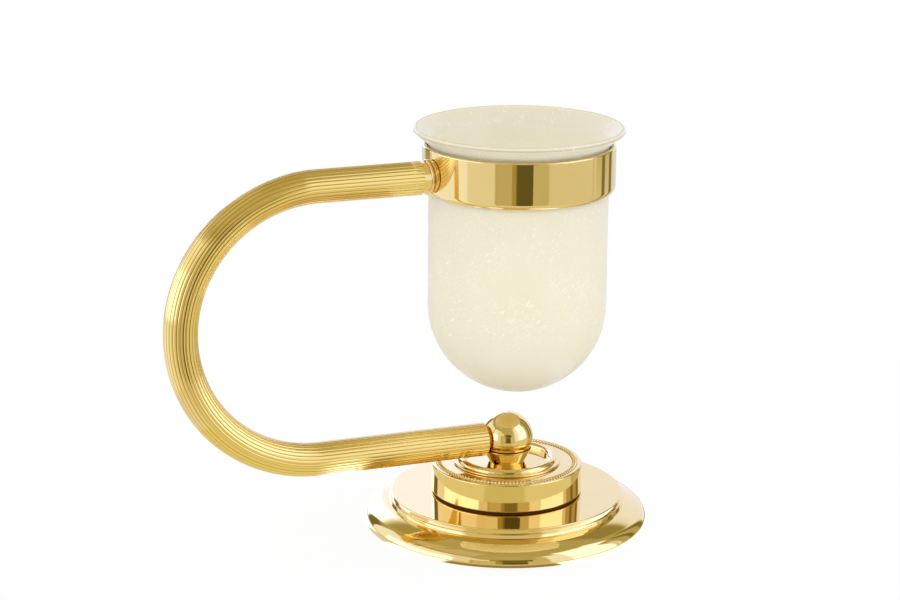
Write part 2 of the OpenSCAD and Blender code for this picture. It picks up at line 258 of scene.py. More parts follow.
def add(tree, kind, links=None, **values):
    """Adds a node. Links and values go by the names or numbers of its inputs, or by its own settings."""
    node = tree.nodes.new(kind)
    for key, value in values.items():
        if hasattr(node, key):
            setattr(node, key, value)
        else:
            node.inputs[key.replace("_", " ").title()].default_value = value
    for key, socket in (links or {}).items():
        if isinstance(socket, bpy.types.NodeSocket):
            tree.links.new(socket, node.inputs[key])
        else:
            node.inputs[key].default_value = socket
    return node


def new_material(name):
    material = bpy.data.materials.new(name)
    material.use_nodes = True
    tree = material.node_tree
    tree.nodes.clear()
    shader = add(tree, "ShaderNodeBsdfPrincipled")
    add(tree, "ShaderNodeOutputMaterial", {"Surface": shader.outputs[0]})
    return material, tree, shader


def rgba(colour):
    return (*colour, 1)


def buffed_brass(name):
    """Brass, cast, spun or drawn, then buffed and lacquered: a mirror with faint haze and hairlines."""
    material, tree, shader = new_material(name)
    place = add(tree, "ShaderNodeTexCoord").outputs["Object"]
    # Haze in patches of about 20 mm, and hairlines from the buffing wheel drawn 0.8 mm wide so that they show
    haze = add(tree, "ShaderNodeTexNoise", {"Vector": place, "Scale": 50.0, "Detail": 3.0})
    hairline = add(tree, "ShaderNodeTexNoise", {"Vector": place, "Scale": 1200.0, "Detail": 2.0})
    gloss = add(tree, "ShaderNodeMapRange", {"Value": haze.outputs["Fac"], "To Min": 0.03, "To Max": 0.06})
    ripple = add(tree, "ShaderNodeBump", {"Height": hairline.outputs["Fac"], "Strength": 0.02,
                                          "Distance": 0.00005})
    tree.links.new(gloss.outputs[0], shader.inputs["Roughness"])
    tree.links.new(ripple.outputs[0], shader.inputs["Normal"])
    shader.inputs["Metallic"].default_value = 1.0
    # The lacquer pales the brass where it is seen at a low angle
    shader.inputs["Coat Weight"].default_value = 1.0
    shader.inputs["Coat Roughness"].default_value = 0.03
    return material, tree, shader, haze


def polished_brass():
    """Polished brass: a warm mirror, a little deeper in colour where the polish is thinner."""
    found = bpy.data.materials.get("Polished brass")
    if found:
        return found
    finish = settings().finish
    material, tree, shader, haze = buffed_brass("Polished brass")
    tone = add(tree, "ShaderNodeMix", {"Factor": haze.outputs["Fac"], 6: rgba(finish.brass),
                                       7: rgba(finish.brass_deep)}, data_type="RGBA")
    tree.links.new(tone.outputs[2], shader.inputs["Base Color"])
    return material


def reeded_brass():
    """Polished brass whose grooves are painted dark brown: partly oxide that the wheel doesn't reach, partly
    painted shade for the grooves' own shadow.
    """
    finish = settings().finish
    material, tree, shader = buffed_brass("Reeded brass")[:3]
    groove = add(tree, "ShaderNodeAttribute", attribute_name="groove")
    depth = add(tree, "ShaderNodeMapRange", {"Value": groove.outputs["Fac"], "From Min": 0.4, "To Max": 0.6})
    # Painted shade and oxide: the deeper into a groove, the nearer to the groove colour
    tone = add(tree, "ShaderNodeMix", {"Factor": depth.outputs[0], 6: rgba(finish.reed),
                                       7: rgba(finish.groove)}, data_type="RGBA")
    tree.links.new(tone.outputs[2], shader.inputs["Base Color"])
    return material


def painted_gap_shade():
    """Painted shade for the gap under the drum and the crease under the ball: brown, dull and a little mottled.
    """
    return plain_finish("Painted gap shade", settings().finish.gap_shade, 0.6, 0.5, 0.7, 800.0, 0.00002)


# Ticks in the crackle glass: angle in degrees, length and rarity. Most rise to the right, some lie across.
TICKS = ((50, 0.003, 0.64), (-25, 0.002, 0.67))
TICK_WIDTH = 0.00035
TICK_FADE = 0.05


def unrolled_skin(tree, axes, across):
    """The skin of the glass laid flat, in metres: round it from the front, and up it along its outline."""
    glass = settings().tumbler
    pole = bottom("tumbler")
    ball_z = pole + glass.radius
    ahead = add(tree, "ShaderNodeMath", {0: axes[1], 1: -1.0}, operation="MULTIPLY")
    turn = add(tree, "ShaderNodeMath", {0: across.outputs[0], 1: ahead.outputs[0]}, operation="ARCTAN2")
    around = add(tree, "ShaderNodeMath", {0: turn.outputs[0], 1: glass.radius}, operation="MULTIPLY")
    below = add(tree, "ShaderNodeMapRange", {"Value": axes[2], "From Min": ball_z, "From Max": pole})
    dip = add(tree, "ShaderNodeMath", {0: below.outputs[0]}, operation="ARCSINE")
    sunk = add(tree, "ShaderNodeMath", {0: dip.outputs[0], 1: glass.radius}, operation="MULTIPLY")
    side = add(tree, "ShaderNodeMath", {0: axes[2], 1: ball_z}, operation="MAXIMUM")
    upward = add(tree, "ShaderNodeMath", {0: side.outputs[0], 1: sunk.outputs[0]}, operation="SUBTRACT")
    return add(tree, "ShaderNodeCombineXYZ", {0: around.outputs[0], 1: upward.outputs[0]}).outputs[0]


def crackle_ticks(tree, skin):
    """Where the ticks are, from 0 to 1: stretched noise, of which only the peaks show."""
    ticks = 0.0
    for angle, length, rarity in TICKS:
        laid = add(tree, "ShaderNodeMapping", {"Vector": skin, "Rotation": (0, 0, math.radians(angle)),
                                               "Scale": (length, TICK_WIDTH, 1.0)}, vector_type="TEXTURE")
        grain = add(tree, "ShaderNodeTexNoise", {"Vector": laid.outputs[0], "Scale": 1.0, "Detail": 1.0})
        tick = add(tree, "ShaderNodeMapRange", {"Value": grain.outputs["Fac"], "From Min": rarity,
                                                "From Max": rarity + TICK_FADE})
        ticks = add(tree, "ShaderNodeMath", {0: tick.outputs[0], 1: ticks}, operation="MAXIMUM").outputs[0]
    return ticks


def crackle_glass():
    """Hand-blown glass, crackled and frosted: cream and glowing with light, with fine white ticks."""
    finish = settings().finish
    glass = settings().tumbler
    high = top("tumbler")
    material, tree, shader = new_material("Crackle glass")
    place = add(tree, "ShaderNodeTexCoord").outputs["Object"]
    axes = add(tree, "ShaderNodeSeparateXYZ", {0: place}).outputs
    across = add(tree, "ShaderNodeMath", {0: axes[0], 1: glass.axis_x}, operation="SUBTRACT")
    ticks = crackle_ticks(tree, unrolled_skin(tree, axes, across))
    # They gather in patches of about 15 mm
    patch = add(tree, "ShaderNodeTexNoise", {"Vector": place, "Scale": 65.0, "Detail": 2.0})
    dense = add(tree, "ShaderNodeMapRange", {"Value": patch.outputs["Fac"], "From Min": 0.42,
                                             "From Max": 0.62, "To Min": 0.25, "To Max": 1.0})
    # The flare and the wall inside are smoother and show them less
    flare_z = bottom("tumbler") + glass.radius + glass.side
    clear = add(tree, "ShaderNodeMapRange", {"Value": axes[2], "From Min": flare_z, "From Max": high})
    faint = add(tree, "ShaderNodeMapRange", {"Value": clear.outputs[0], "To Min": 1.0, "To Max": 0.4})
    level = add(tree, "ShaderNodeCombineXYZ", {0: across.outputs[0], 1: axes[1]})
    away = add(tree, "ShaderNodeVectorMath", {0: level.outputs[0]}, operation="LENGTH")
    within = add(tree, "ShaderNodeMapRange", {"Value": away.outputs["Value"], "To Min": 0.3,
                                              "From Min": glass.radius - glass.wall,
                                              "From Max": glass.radius - glass.wall / 2})
    flake = add(tree, "ShaderNodeMath", {0: ticks, 1: dense.outputs[0]}, operation="MULTIPLY")
    for share in (within, faint):
        flake = add(tree, "ShaderNodeMath", {0: flake.outputs[0], 1: share.outputs[0]}, operation="MULTIPLY")
    cloud = add(tree, "ShaderNodeTexNoise", {"Vector": place, "Scale": 60.0, "Detail": 4.0})
    body = add(tree, "ShaderNodeMix", {"Factor": cloud.outputs["Fac"], 6: rgba(finish.glass),
                                       7: rgba(finish.glass_warm)}, data_type="RGBA")
    # The flare is a little greyer than the side: partly its clearer, less frosted glass, partly painted shade
    # that tones down the light it catches
    tone = add(tree, "ShaderNodeMix", {"Factor": clear.outputs[0], 6: body.outputs[2], 7: rgba(finish.lip)},
               data_type="RGBA")
    # Painted shade: the two edges of the ground lip are painted as fine darker lines
    upper = add(tree, "ShaderNodeMapRange", {"Value": axes[2], "From Min": high - glass.line_top,
                                             "From Max": high - glass.line_core})
    outer = add(tree, "ShaderNodeMapRange", {"Value": away.outputs["Value"],
                                             "From Min": glass.lip - glass.line_rim,
                                             "From Max": glass.lip - glass.line_core})
    lines = add(tree, "ShaderNodeMath", {0: upper.outputs[0], 1: outer.outputs[0]}, operation="MAXIMUM")
    lip_shaded = add(tree, "ShaderNodeMix", {"Factor": lines.outputs[0], 6: tone.outputs[2],
                                        7: rgba(finish.painted_lip_shade)}, data_type="RGBA")
    skin = add(tree, "ShaderNodeMix", {"Factor": flake.outputs[0], 6: lip_shaded.outputs[2],
                                       7: rgba(finish.flake)}, data_type="RGBA")
    pitted = add(tree, "ShaderNodeBump", {"Height": ticks, "Strength": 0.3, "Distance": 0.0002})
    tree.links.new(skin.outputs[2], shader.inputs["Base Color"])
    tree.links.new(pitted.outputs[0], shader.inputs["Normal"])
    shader.inputs["Roughness"].default_value = 0.4
    shader.inputs["IOR"].default_value = 1.45
    shader.inputs["Subsurface Weight"].default_value = 1.0
    shader.inputs["Subsurface Radius"].default_value = (1.0, 0.97, 0.82)
    shader.inputs["Subsurface Scale"].default_value = 0.003
    shader.inputs["Sheen Weight"].default_value = 0.3
    shader.inputs["Sheen Roughness"].default_value = 0.4
    return material


def clear_silicone():
    """Clear silicone strip, extruded: soft, faintly milky, with a dull gloss."""
    finish = settings().finish
    material, tree, shader = new_material("Clear silicone")
    place = add(tree, "ShaderNodeTexCoord").outputs["Object"]
    cloud = add(tree, "ShaderNodeTexNoise", {"Vector": place, "Scale": 150.0})
    gloss = add(tree, "ShaderNodeMapRange", {"Value": cloud.outputs["Fac"], "To Min": 0.2, "To Max": 0.35})
    tree.links.new(gloss.outputs[0], shader.inputs["Roughness"])
    shader.inputs["Base Color"].default_value = rgba(finish.silicone)
    shader.inputs["Transmission Weight"].default_value = 0.6
    shader.inputs["IOR"].default_value = 1.41
    return material


def plain_finish(name, colour, metallic, rough_low, rough_high, grain_scale, grain_depth):
    """A hidden piece: one colour broken up by grain, with its own roughness."""
    material, tree, shader = new_material(name)
    place = add(tree, "ShaderNodeTexCoord").outputs["Object"]
    grain = add(tree, "ShaderNodeTexNoise", {"Vector": place, "Scale": grain_scale, "Detail": 4.0})
    tone = add(tree, "ShaderNodeMix", {"Factor": grain.outputs["Fac"]}, data_type="RGBA")
    tone.inputs[6].default_value = rgba([c * 0.8 for c in colour])
    tone.inputs[7].default_value = rgba(colour)
    gloss = add(tree, "ShaderNodeMapRange", {"Value": grain.outputs["Fac"], "To Min": rough_low,
                                             "To Max": rough_high})
    rise = add(tree, "ShaderNodeBump", {"Height": grain.outputs["Fac"], "Strength": 0.5,
                                        "Distance": grain_depth})
    tree.links.new(tone.outputs[2], shader.inputs["Base Color"])
    tree.links.new(gloss.outputs[0], shader.inputs["Roughness"])
    tree.links.new(rise.outputs[0], shader.inputs["Normal"])
    shader.inputs["Metallic"].default_value = metallic
    return material


# Shapes

# A section has a point just before and just after each rounded edge, this share of the edge's radius away.
# It keeps the flat faces beside the edge flat to the light.
HOLD = 0.05


def arc(centre, radius, start, end, steps):
    """Points on a circle in the section's plane, with angles in degrees."""
    angles = [math.radians(start + (end - start) * i / steps) for i in range(steps + 1)]
    return [(centre[0] + radius * math.cos(a), centre[1] + radius * math.sin(a)) for a in angles]


def rounded(corners, steps=6):
    """A closed section from corners of (radius, height, edge radius)."""
    points = []
    for i, (x, z, edge) in enumerate(corners):
        if edge <= 0:
            points.append((x, z))
            continue
        here = Vector((x, z))
        back = (Vector(corners[i - 1][:2]) - here).normalized()
        ahead = (Vector(corners[(i + 1) % len(corners)][:2]) - here).normalized()
        half = back.angle(ahead) / 2
        middle = here + (back + ahead).normalized() * (edge / math.sin(half))
        run = edge / math.tan(half)
        first = here + back * run - middle
        last = here + ahead * run - middle
        sweep = first.angle_signed(last)
        points.append(tuple(here + back * (run + HOLD * edge)))
        for k in range(steps + 1):
            turned = first.copy()
            turned.rotate(Matrix.Rotation(-sweep * k / steps, 2))
            points.append(tuple(middle + turned))
        points.append(tuple(here + ahead * (run + HOLD * edge)))
    return points


def finish_mesh(name, bm, material, sharp=32):
    bmesh.ops.remove_doubles(bm, verts=bm.verts, dist=1e-7)
    bmesh.ops.recalc_face_normals(bm, faces=bm.faces)
    mesh = bpy.data.meshes.new(name)
    bm.to_mesh(mesh)
    bm.free()
    mesh.shade_smooth()
    mesh.set_sharp_from_angle(angle=math.radians(sharp))
    mesh.materials.append(material)
    piece = bpy.data.objects.new(name, mesh)
    bpy.context.scene.collection.objects.link(piece)
    return piece


def turned(name, section, material, centre_x=0.0, segments=256, place=None):
    """A closed section of (radius, height) points turned round an axis. A place puts each point elsewhere."""
    bm = bmesh.new()
    rings = []
    for radius, height in section:
        count = segments if radius > 1e-6 else 1
        ring = []
        for i in range(count):
            angle = 2 * math.pi * i / count
            point = Vector((radius * math.cos(angle), radius * math.sin(angle), height))
            if place:
                point = place(point)
            ring.append(bm.verts.new(point + Vector((centre_x, 0, 0))))
        rings.append(ring)
    for ring, other in zip(rings, rings[1:] + rings[:1]):
        if len(ring) == 1 and len(other) == 1:
            continue
        for i in range(segments):
            j = (i + 1) % segments
            corners = [ring[i % len(ring)], ring[j % len(ring)], other[j % len(other)], other[i % len(other)]]
            bm.faces.new(list(dict.fromkeys(corners)))
    return finish_mesh(name, bm, material)


def hang(piece, node, body):
    """Puts a piece in a CAD node's place on its body."""
    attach(piece, body)
    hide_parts(node)


def new_tree(name, inputs):
    """A geometry tree with named inputs, and its first and last nodes."""
    tree = bpy.data.node_groups.new(name, "GeometryNodeTree")
    tree.interface.new_socket("Geometry", in_out="INPUT", socket_type="NodeSocketGeometry")
    for label, kind in inputs:
        tree.interface.new_socket(label, in_out="INPUT", socket_type=kind)
    tree.interface.new_socket("Geometry", in_out="OUTPUT", socket_type="NodeSocketGeometry")
    return tree, add(tree, "NodeGroupInput"), add(tree, "NodeGroupOutput")


def grown(name, tree, values, start_mesh):
    """Runs a geometry tree on a start mesh and keeps the result as a plain mesh."""
    carrier = bpy.data.objects.new(name, start_mesh)
    bpy.context.scene.collection.objects.link(carrier)
    modifier = carrier.modifiers.new(name, "NODES")
    modifier.node_group = tree
    for item in tree.interface.items_tree:
        if item.in_out == "INPUT" and item.name in values:
            modifier[item.identifier] = values[item.name]
    depsgraph = bpy.context.evaluated_depsgraph_get()
    mesh = bpy.data.meshes.new_from_object(carrier.evaluated_get(depsgraph))
    carrier.modifiers.remove(modifier)
    carrier.data = mesh
    return carrier


# Operators, one for each group of pieces

class HOLDER_OT_base(bpy.types.Operator):
    """Make the flange and the step plate."""
    bl_idname = "tumbler_holder.base"
    bl_label = "Base"

    def execute(self, context):
        base = settings().base
        brass = polished_brass()
        foot = bottom("base_flange")
        flange_top = top("base_flange")
        edge = base.foot_edge
        middle = Vector((base.flange - base.side, foot + edge))
        run = Vector((base.slope, flange_top)) - middle
        tangent = math.degrees(math.atan2(run.y, run.x) - math.acos(base.side / run.length))
        roof = flange_top - base.roof
        pad_top = top("foot_pad")
        bore = settings().post.bore
        section = [(bore, roof), (base.hollow, roof), (base.hollow, pad_top), (base.recess, pad_top),
                   (base.recess, foot)]
        section += arc((base.flange - edge, foot + edge), edge, -90, 0, 6)
        section += arc(middle, base.side, 0, tangent, 28)
        section += [(base.slope, flange_top), (bore, flange_top)]
        hang(turned("flange_shell", section, brass), "base_flange", HOLDER)
        plate_top = top("step_plate")
        tier = (flange_top + plate_top) / 2
        edge = base.plate_edge
        wide = base.plate + base.plate_step
        section = rounded([(bore, flange_top, 0), (wide, flange_top, edge), (wide, tier, edge),
                           (base.plate, tier, 0), (base.plate, plate_top, edge), (bore, plate_top, 0)])
        hang(turned("tiered_plate", section, brass), "step_plate", HOLDER)
        return {"FINISHED"}


class HOLDER_OT_drum(bpy.types.Operator):
    """Make the drum, the moulding on it and the dark seams of painted shade under it and under the ball."""
    bl_idname = "tumbler_holder.drum"
    bl_label = "Drum"

    def execute(self, context):
        drum = settings().drum
        brass = polished_brass()
        low = bottom("drum")
        high = top("drum")
        bore = settings().post.bore
        neck = drum.radius - drum.shadow_depth
        groove_in = drum.bead_ring - drum.bead
        groove_out = drum.bead_ring + drum.bead
        section = rounded([
            (bore, low, 0), (neck, low, 0), (neck, low + drum.shadow_height, 0),
            (drum.radius, low + drum.shadow_height, drum.edge), (drum.radius - drum.draft, high, drum.edge),
            (groove_out, high, drum.groove_edge), (groove_out, high - drum.groove, 0),
            (groove_in, high - drum.groove, 0), (groove_in, high, drum.groove_edge),
            (bore, high, 0),
        ])
        hang(turned("drum_shell", section, brass), "drum", HOLDER)
        # Painted shade: two dark rings stand in for the shade in the gap under the drum and in the crease under
        # the ball
        dull = painted_gap_shade()
        seam = drum.radius - drum.shadow_depth / 2
        self.seam("drum_seam", [(neck, low), (seam, low), (seam, low + drum.shadow_height),
                                (neck, low + drum.shadow_height)], dull)
        seat = top("post")
        lip = settings().post.lip
        edge = settings().post.lip_edge
        self.seam("seat_seam", [(lip - 2 * edge, seat - edge), (lip, seat - edge), (lip, seat + edge),
                                (lip - 2 * edge, seat + edge)], dull)
        step = drum.fillet / 2
        section = [(drum.well, high), (drum.moulding - step, high)]
        section += arc((drum.moulding - step, high + step), step, -90, 90, 10)
        section += arc((drum.well + drum.roll, high + drum.fillet), drum.roll, 0, 180, 24)
        hang(turned("moulded_ring", section, brass), "dish_moulding", HOLDER)
        return {"FINISHED"}

    def seam(self, name, section, material):
        """A dull ring of painted shade in a gap between two polished pieces."""
        ring = turned(name, section, material)
        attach(ring, HOLDER)


def bead_tree():
    """A ring whose round section swells to a bead and shrinks to a valley, over and over."""
    tree, first, last = new_tree("Bead trim", [
        ("Ring Radius", "NodeSocketFloat"), ("Bead Radius", "NodeSocketFloat"), ("Beads", "NodeSocketInt"),
        ("Steps", "NodeSocketInt"), ("Valley", "NodeSocketFloat"), ("Height", "NodeSocketFloat"),
        ("Material", "NodeSocketMaterial")])
    get = first.outputs
    points = add(tree, "ShaderNodeMath", {0: get["Beads"], 1: get["Steps"]}, operation="MULTIPLY")
    ring = add(tree, "GeometryNodeCurvePrimitiveCircle", {"Resolution": points.outputs[0],
                                                          "Radius": get["Ring Radius"]})
    index = add(tree, "GeometryNodeInputIndex")
    turn = add(tree, "ShaderNodeMath", {0: index.outputs[0], 1: get["Steps"]}, operation="DIVIDE")
    angle = add(tree, "ShaderNodeMath", {0: turn.outputs[0], 1: math.pi}, operation="MULTIPLY")
    wave = add(tree, "ShaderNodeMath", {0: angle.outputs[0]}, operation="SINE")
    bulge = add(tree, "ShaderNodeMath", {0: wave.outputs[0]}, operation="ABSOLUTE")
    share = add(tree, "ShaderNodeMapRange", {"Value": bulge.outputs[0], "To Min": get["Valley"]})
    swell = add(tree, "ShaderNodeMath", {0: share.outputs[0], 1: get["Bead Radius"]}, operation="MULTIPLY")
    sized = add(tree, "GeometryNodeSetCurveRadius", {"Curve": ring.outputs[0], "Radius": swell.outputs[0]})
    section = add(tree, "GeometryNodeCurvePrimitiveCircle", {"Resolution": 12, "Radius": 1.0})
    links = {"Curve": sized.outputs[0], "Profile Curve": section.outputs[0]}
    mesh = add(tree, "GeometryNodeCurveToMesh", links)
    if "Scale" in mesh.inputs:
        tree.links.new(swell.outputs[0], mesh.inputs["Scale"])
    rise = add(tree, "ShaderNodeCombineXYZ", {"Z": get["Height"]})
    placed = add(tree, "GeometryNodeTransform", {"Geometry": mesh.outputs[0], "Translation": rise.outputs[0]})
    smooth = add(tree, "GeometryNodeSetShadeSmooth", {"Geometry": placed.outputs[0]})
    whole = add(tree, "GeometryNodeRealizeInstances", {"Geometry": smooth.outputs[0]})
    coated = add(tree, "GeometryNodeSetMaterial", {"Geometry": whole.outputs[0], "Material": get["Material"]})
    tree.links.new(coated.outputs[0], last.inputs[0])
    return tree


class HOLDER_OT_beads(bpy.types.Operator):
    """Make the ring of beads on the drum."""
    bl_idname = "tumbler_holder.beads"
    bl_label = "Bead trim"

    def execute(self, context):
        drum = settings().drum
        values = {"Ring Radius": drum.bead_ring, "Bead Radius": drum.bead, "Beads": drum.beads, "Steps": 8,
                  "Valley": drum.valley, "Height": top("bead_trim") - drum.bead, "Material": polished_brass()}
        piece = grown("bead_ring", bead_tree(), values, bpy.data.meshes.new("bead_start"))
        hang(piece, "bead_trim", HOLDER)
        return {"FINISHED"}


class HOLDER_OT_post(bpy.types.Operator):
    """Make the flared post and the ball on it."""
    bl_idname = "tumbler_holder.post"
    bl_label = "Post and ball"

    def execute(self, context):
        post = settings().post
        brass = polished_brass()
        low = bottom("post")
        seat = top("post")
        section = rounded([(post.bore, low, 0), (post.foot, low, 0),
                           (post.lip, seat - post.lip_height, post.lip_edge),
                           (post.lip, seat, post.lip_edge), (post.bore, seat, 0)])
        hang(turned("flared_post", section, brass, segments=160), "post", HOLDER)
        centre = top("ball") - post.ball
        start = math.degrees(math.asin((seat - centre) / post.ball))
        section = [(0.0, seat)] + arc((0.0, centre), post.ball, start, 89.5, 72) + [(0.0, centre + post.ball)]
        hang(turned("ball_knob", section, brass, segments=160), "ball", HOLDER)
        return {"FINISHED"}


def reeded_tree():
    """A path swept by a round section with grooves, so that flat-topped reeds stand between them."""
    tree, first, last = new_tree("Reeded tube", [
        ("Radius", "NodeSocketFloat"), ("Reeds", "NodeSocketInt"), ("Steps", "NodeSocketInt"),
        ("Groove", "NodeSocketFloat"), ("Flatness", "NodeSocketFloat"), ("Material", "NodeSocketMaterial")])
    get = first.outputs
    math_node = "ShaderNodeMath"
    count = add(tree, math_node, {0: get["Reeds"], 1: get["Steps"]}, operation="MULTIPLY").outputs[0]
    index = add(tree, "GeometryNodeInputIndex").outputs[0]
    turn = add(tree, math_node, {0: index, 1: get["Steps"]}, operation="DIVIDE").outputs[0]
    part = add(tree, math_node, {0: turn}, operation="FRACT").outputs[0]
    signed = add(tree, math_node, {0: part, 1: 2.0, 2: -1.0}, operation="MULTIPLY_ADD").outputs[0]
    away = add(tree, math_node, {0: signed}, operation="ABSOLUTE").outputs[0]
    fall = add(tree, math_node, {0: away, 1: get["Flatness"]}, operation="POWER").outputs[0]
    depth = add(tree, math_node, {0: fall, 1: get["Groove"]}, operation="MULTIPLY").outputs[0]
    radius = add(tree, math_node, {0: get["Radius"], 1: depth}, operation="SUBTRACT").outputs[0]
    circle = add(tree, "GeometryNodeCurvePrimitiveCircle", {"Resolution": count, "Radius": 1.0})
    position = add(tree, "GeometryNodeInputPosition").outputs[0]
    moved = add(tree, "ShaderNodeVectorMath", {0: position, "Scale": radius}, operation="SCALE")
    section = add(tree, "GeometryNodeSetPosition", {"Geometry": circle.outputs[0],
                                                    "Position": moved.outputs[0]})
    marked = add(tree, "GeometryNodeStoreNamedAttribute", {"Geometry": section.outputs[0], "Name": "groove",
                                                           "Value": fall})
    path = add(tree, "GeometryNodeMeshToCurve", {"Mesh": get["Geometry"]})
    mesh = add(tree, "GeometryNodeCurveToMesh", {"Curve": path.outputs[0], "Profile Curve": marked.outputs[0],
                                                 "Fill Caps": True})
    whole = add(tree, "GeometryNodeRealizeInstances", {"Geometry": mesh.outputs[0]})
    coated = add(tree, "GeometryNodeSetMaterial", {"Geometry": whole.outputs[0], "Material": get["Material"]})
    tree.links.new(coated.outputs[0], last.inputs[0])
    return tree


class HOLDER_OT_arm(bpy.types.Operator):
    """Make the reeded arm."""
    bl_idname = "tumbler_holder.arm"
    bl_label = "Arm"

    def execute(self, context):
        arm = settings().arm
        low = bottom("arm") + arm.radius
        upper_end = tube_end()
        lower_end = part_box("arm")[1].x
        centre = Vector((-arm.leg, 0, low + arm.bend))
        leg_steps = 12
        bend_steps = 96
        high = low + 2 * arm.bend
        back = -arm.leg - lower_end
        forth = upper_end + arm.leg
        lower = [Vector((lower_end + back * i / leg_steps, 0, low)) for i in range(leg_steps)]
        turns = [math.radians(-90 - 180 * i / bend_steps) for i in range(bend_steps + 1)]
        bow = [centre + arm.bend * Vector((math.cos(t), 0, math.sin(t))) for t in turns]
        upper = [Vector((forth * i / leg_steps - arm.leg, 0, high)) for i in range(1, leg_steps + 1)]
        points = lower + bow + upper
        path = bpy.data.meshes.new("arm_path")
        path.from_pydata(points, [(i, i + 1) for i in range(len(points) - 1)], [])
        values = {"Radius": arm.radius, "Reeds": arm.reeds, "Steps": 16, "Groove": arm.groove,
                  "Flatness": arm.flatness, "Material": reeded_brass()}
        piece = grown("reeded_arm", reeded_tree(), values, path)
        piece.data.shade_smooth()
        piece.data.set_sharp_from_angle(angle=math.radians(50))
        hang(piece, "arm", HOLDER)
        return {"FINISHED"}


class HOLDER_OT_ring(bpy.types.Operator):
    """Make the band, its clear sleeve and the neck that joins it to the arm."""
    bl_idname = "tumbler_holder.ring"
    bl_label = "Ring"

    def execute(self, context):
        ring = settings().ring
        axis_x = settings().tumbler.axis_x
        brass = polished_brass()
        high = top("ring_band")
        inner = ring.radius - ring.wall
        mouth = ring.sleeve_radius - ring.sleeve_wall
        # The lower edge turns in on a quarter circle that stops at the mouth of the ring
        across = mouth - (ring.radius - ring.turn)
        turn = (ring.radius - ring.turn, bottom("ring_band") + math.sqrt(ring.turn ** 2 - across ** 2))
        outer_end = -math.degrees(math.acos(across / ring.turn))
        inner_end = -math.degrees(math.acos(across / (ring.turn - ring.wall)))
        hold = HOLD * ring.edge
        rim_mid = (ring.radius - ring.edge, high - ring.edge)
        section = arc(turn, ring.turn, outer_end, 0, 16) + [(ring.radius, turn[1] + hold)]
        section += [(ring.radius, high - ring.edge - hold)] + arc(rim_mid, ring.edge, 0, 90, 8)
        section += [(inner, high)] + arc(turn, ring.turn - ring.wall, 0, inner_end, 10)
        hang(turned("polished_band", section, brass, axis_x), "ring_band", HOLDER)
        sleeve_low = bottom("clear_sleeve")
        sleeve_high = top("clear_sleeve")
        soft = ring.sleeve_edge
        section = rounded([(mouth, sleeve_low, soft), (ring.sleeve_radius, sleeve_low, soft),
                           (ring.sleeve_radius, sleeve_high, soft), (mouth, sleeve_high, soft)])
        sleeve = turned("soft_sleeve", section, clear_silicone(), axis_x)
        hang(sleeve, "clear_sleeve", HOLDER)
        self.neck(ring, axis_x, brass)
        return {"FINISHED"}

    def neck(self, ring, axis_x, brass):
        """The neck is turned along X, and its end is bent to the curve of the band."""
        plug_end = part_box("ring_ferrule")[0].x
        reeds_end = tube_end()
        height = (bottom("ring_ferrule") + top("ring_ferrule")) / 2
        touch = axis_x - ring.radius
        half = ring.collar_wall / 2
        bead_from = touch - ring.collar_wall
        section = [(0.0, plug_end), (ring.plug, plug_end), (ring.plug, reeds_end), (ring.neck, reeds_end)]
        section += [(ring.neck, reeds_end + (bead_from - reeds_end) * i / 4) for i in range(1, 5)]
        section += arc((ring.collar - half, touch - half), half, -90, 90, 12)
        section += [(ring.neck, touch), (0.0, touch)]

        def along_x(point):
            place = Vector((point.z, point.x, point.y + height))
            bow = ring.radius - math.sqrt(ring.radius ** 2 - place.y ** 2)
            share = min(max((place.x - reeds_end) / (bead_from - reeds_end), 0), 1)
            place.x += bow * share
            return place

        piece = turned("neck_collar", section, brass, segments=96, place=along_x)
        hang(piece, "ring_ferrule", HOLDER)


class HOLDER_OT_tumbler(bpy.types.Operator):
    """Make the glass tumbler."""
    bl_idname = "tumbler_holder.tumbler"
    bl_label = "Tumbler"

    def execute(self, context):
        glass = settings().tumbler
        pole = bottom("tumbler")
        ball_z = pole + glass.radius
        flare_z = ball_z + glass.side
        turn = math.degrees(glass.flare)
        bend_mid = (glass.radius + glass.bend, flare_z)
        lip = glass.wall / 2
        slope = Vector((math.sin(glass.flare), math.cos(glass.flare)))
        out = Vector((math.cos(glass.flare), -math.sin(glass.flare)))
        start = Vector(bend_mid) - (glass.bend + lip) * out
        length = (glass.lip - lip - start.x) / slope.x
        lip_mid = start + length * slope
        inner = glass.radius - glass.wall
        side = [i / 12 for i in range(1, 12)]
        section = [(0.0, pole)] + arc((0.0, ball_z), glass.radius, -89.5, 0, 60)
        section += [(glass.radius, ball_z + glass.side * t) for t in side]
        section += arc(bend_mid, glass.bend, 180, 180 - turn, 14)
        # The lip is ground square to the wall, with its two edges broken
        edge = glass.lip_edge
        ground = lip_mid + (glass.lip_land - edge) * slope
        section += arc(ground + (lip - edge) * out, edge, -turn, 90 - turn, 6)
        section += arc(ground - (lip - edge) * out, edge, 90 - turn, 180 - turn, 6)
        section += arc(bend_mid, glass.bend + glass.wall, 180 - turn, 180, 14)
        section += [(inner, ball_z + glass.side * (1 - t)) for t in side]
        section += arc((0.0, ball_z), inner, 0, -89.5, 60) + [(0.0, ball_z - inner)]
        piece = turned("crackle_tumbler", section, crackle_glass(), glass.axis_x, segments=192)
        hang(piece, "tumbler", GLASS)
        return {"FINISHED"}


